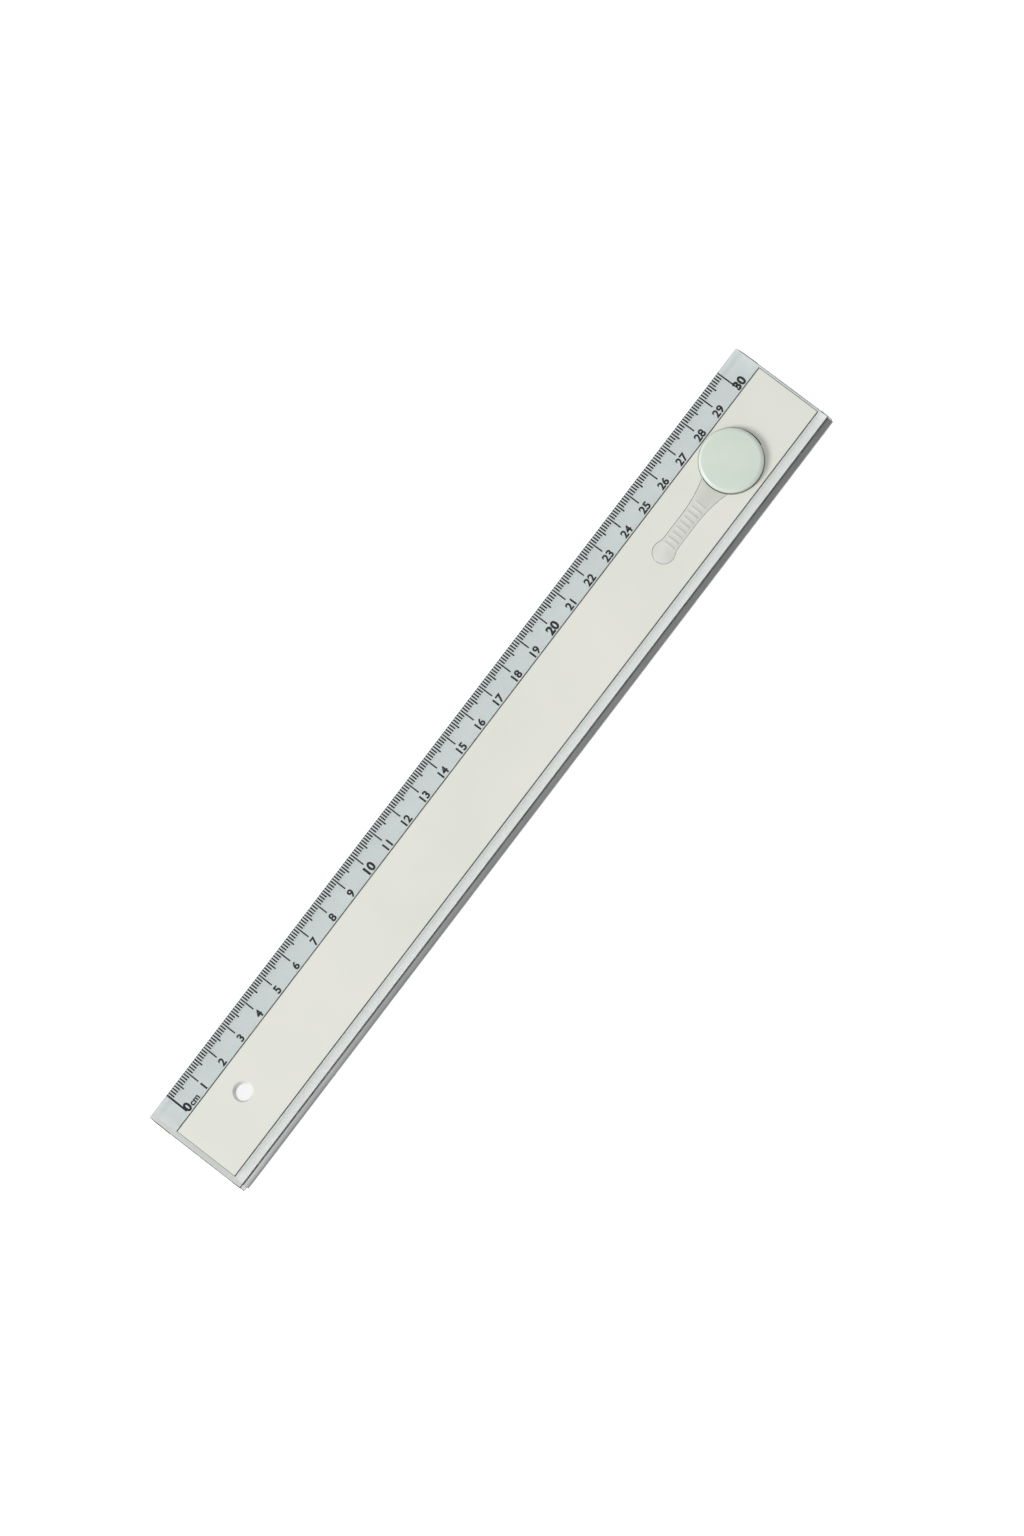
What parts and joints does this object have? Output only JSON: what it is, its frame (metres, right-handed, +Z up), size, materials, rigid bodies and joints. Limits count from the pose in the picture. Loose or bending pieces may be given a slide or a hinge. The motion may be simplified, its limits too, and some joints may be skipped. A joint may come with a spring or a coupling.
{
  "type": "drawing board sliding rule",
  "caption": "Clear thirty-centimetre sliding rule for a drawing board, with guide feet, a steel ruling edge and a push-button groove brake.",
  "frame": {"origin": "under the middle of the rule, on the surface the guide feet stand on", "axes": "+X along the rule towards the button end, +Y across it towards the scale edge, +Z up"},
  "size_m": [0.32, 0.041, 0.0092],
  "materials": {
    "clear_plastic": "clear, faintly blue-green, polished",
    "panel_plastic": "warm off-white, fine matte",
    "mint_plastic": "mint green, satin",
    "grey_plastic": "light grey, matte",
    "dark_plastic": "dark grey acetal, matte",
    "steel": "ground spring steel",
    "pin_steel": "polished pin stock",
    "rubber": "black, matte",
    "brass": "bright turned brass",
    "slip_plastic": "white, waxy"
  },
  "bodies": {
    "rail": {"rule_body": "clear_plastic", "face_panel": "panel_plastic", "steel_edge": "steel", "lever_pin": "pin_steel", "brake_spring": "steel", "guide_foot_zero": "dark_plastic", "guide_foot_brake": "dark_plastic", "foot_screw_1": "brass", "foot_screw_2": "brass", "foot_screw_3": "brass", "foot_screw_4": "brass", "glide_pad_1": "slip_plastic", "glide_pad_2": "slip_plastic", "glide_pad_3": "slip_plastic", "glide_pad_4": "slip_plastic"},
    "lever": {"brake_lever": "grey_plastic", "button_cap": "mint_plastic"},
    "slider": {"brake_slider": "dark_plastic", "brake_pad": "rubber"}
  },
  "joints": [
    {"name": "button_press", "type": "hinge", "parent": "rail", "child": "lever", "pos_m": [0.0915, -0.00235, 0.00495], "axis": [0, 1, 0], "range_deg": [0, 1.37], "stiffness_Nm_per_rad": 2.2, "springref_deg": -1.72},
    {"name": "brake_slide", "type": "slide", "parent": "rail", "child": "slider", "axis": [-1, 0, 0], "range_m": [0, 0.00083], "deforming": ["brake_spring"]}
  ],
  "couplings": [
    {"joint": "brake_slide", "follows": "button_press", "m_per_rad": 0.03465}
  ]
}
